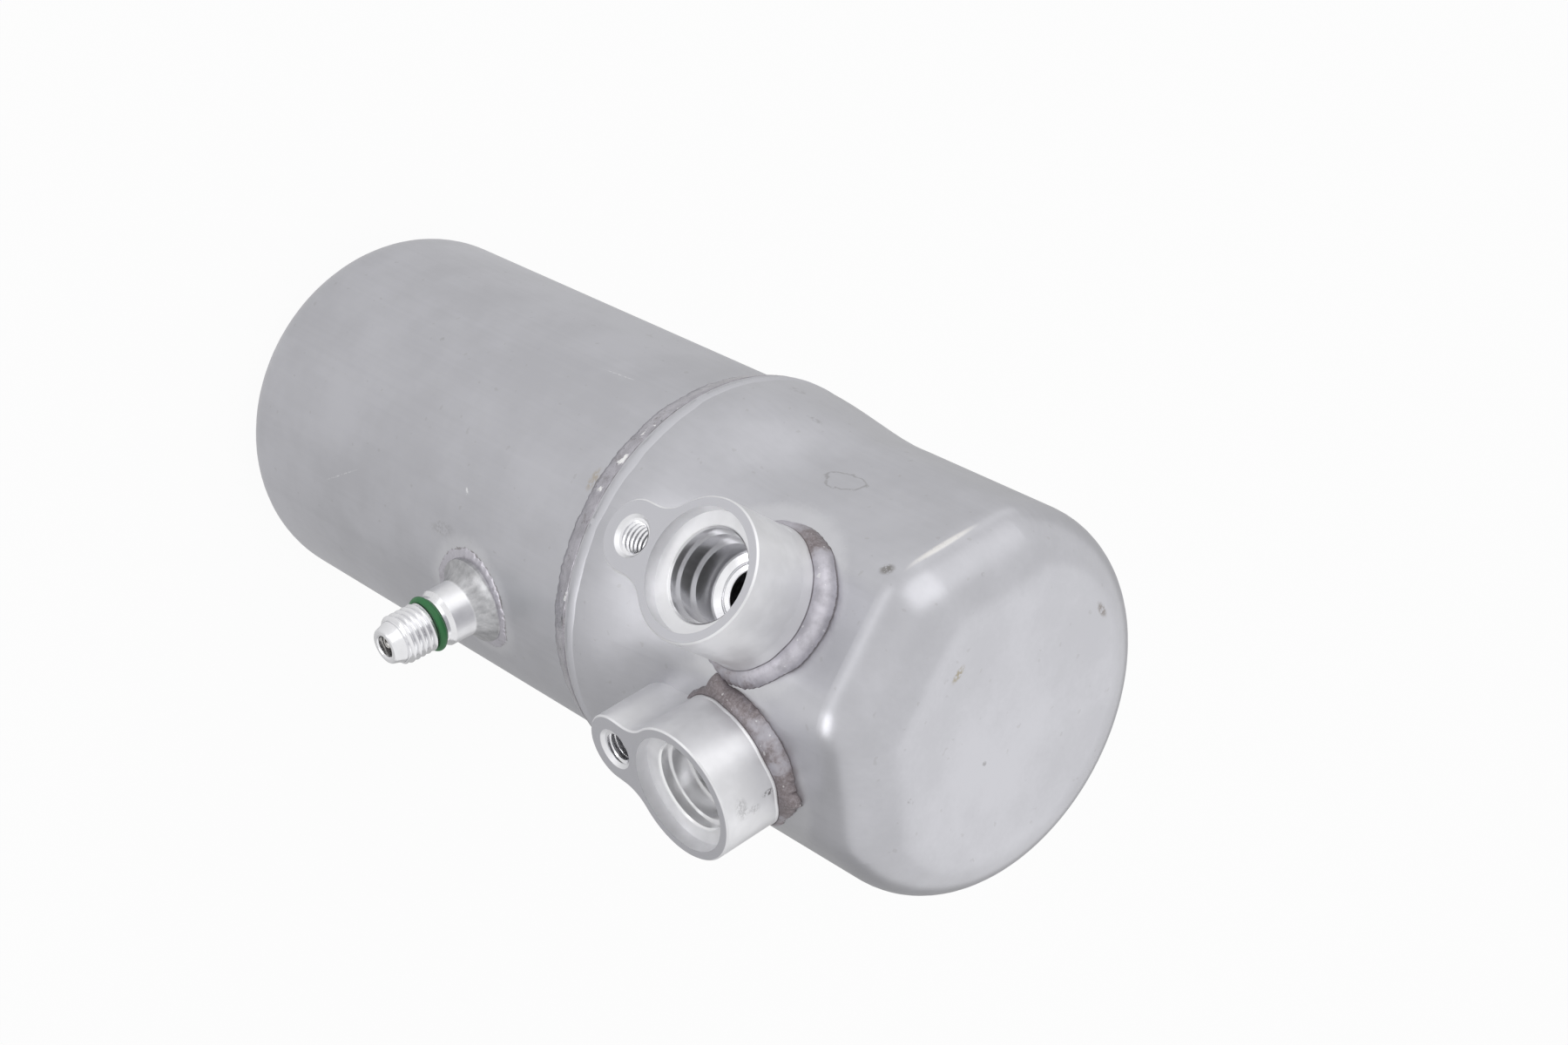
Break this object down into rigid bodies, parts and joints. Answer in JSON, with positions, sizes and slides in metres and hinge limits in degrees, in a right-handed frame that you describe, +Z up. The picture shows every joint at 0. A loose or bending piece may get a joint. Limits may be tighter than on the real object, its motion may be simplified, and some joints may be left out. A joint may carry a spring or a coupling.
{
  "type": "receiver drier",
  "caption": "Aluminium receiver drier for an air-conditioning circuit: a welded can with a flatted head, machined port blocks on two flats, and a service valve fitting on its side.",
  "frame": {"origin": "centre of the can's flat bottom, on the can's axis", "axes": "+Z up the can's axis towards its closed flatted end; -Y out through the middle flat and its outlet block; +X completes the frame, with the inlet block and the service fitting between +X and -Y"},
  "size_m": [0.1022, 0.1106, 0.226],
  "materials": {
    "drawn_aluminium": "satin, as drawn",
    "machined_aluminium": "fine turned and milled",
    "tube_aluminium": "plain drawn tube",
    "weld_metal": "rippled weld bead with soot",
    "green_rubber": "smooth moulded",
    "black_rubber": "smooth moulded",
    "plated_core": "fine turned, nickel plated",
    "steel": "bright drawn",
    "white_plastic": "moulded",
    "gauze": "fine woven monofilament",
    "felt": "needled felt"
  },
  "bodies": {
    "canister": {"baffle_plate": "drawn_aluminium", "core_body": "plated_core", "core_gasket": "white_plastic", "desiccant_bag": "felt", "fitting_seal": "green_rubber", "fitting_weld": "weld_metal", "girth_weld": "weld_metal", "inlet_block": "machined_aluminium", "inlet_weld": "weld_metal", "intake_cap": "white_plastic", "lower_can": "drawn_aluminium", "lower_tie": "white_plastic", "outlet_block": "machined_aluminium", "outlet_weld": "weld_metal", "pickup_tube": "tube_aluminium", "pin_spring": "steel", "service_fitting": "machined_aluminium", "strainer_cage": "white_plastic", "strainer_gauze": "gauze", "upper_shell": "drawn_aluminium", "upper_tie": "white_plastic"},
    "pin": {"valve_pin": "steel", "pin_seal": "black_rubber"}
  },
  "joints": [
    {"name": "pin_push", "type": "slide", "parent": "canister", "child": "pin", "axis": [-0.6947, 0.7193, 0], "range_m": [0, 0.0013], "stiffness_N_per_m": 800, "springref_m": -0.002, "deforming": ["pin_spring"]}
  ]
}
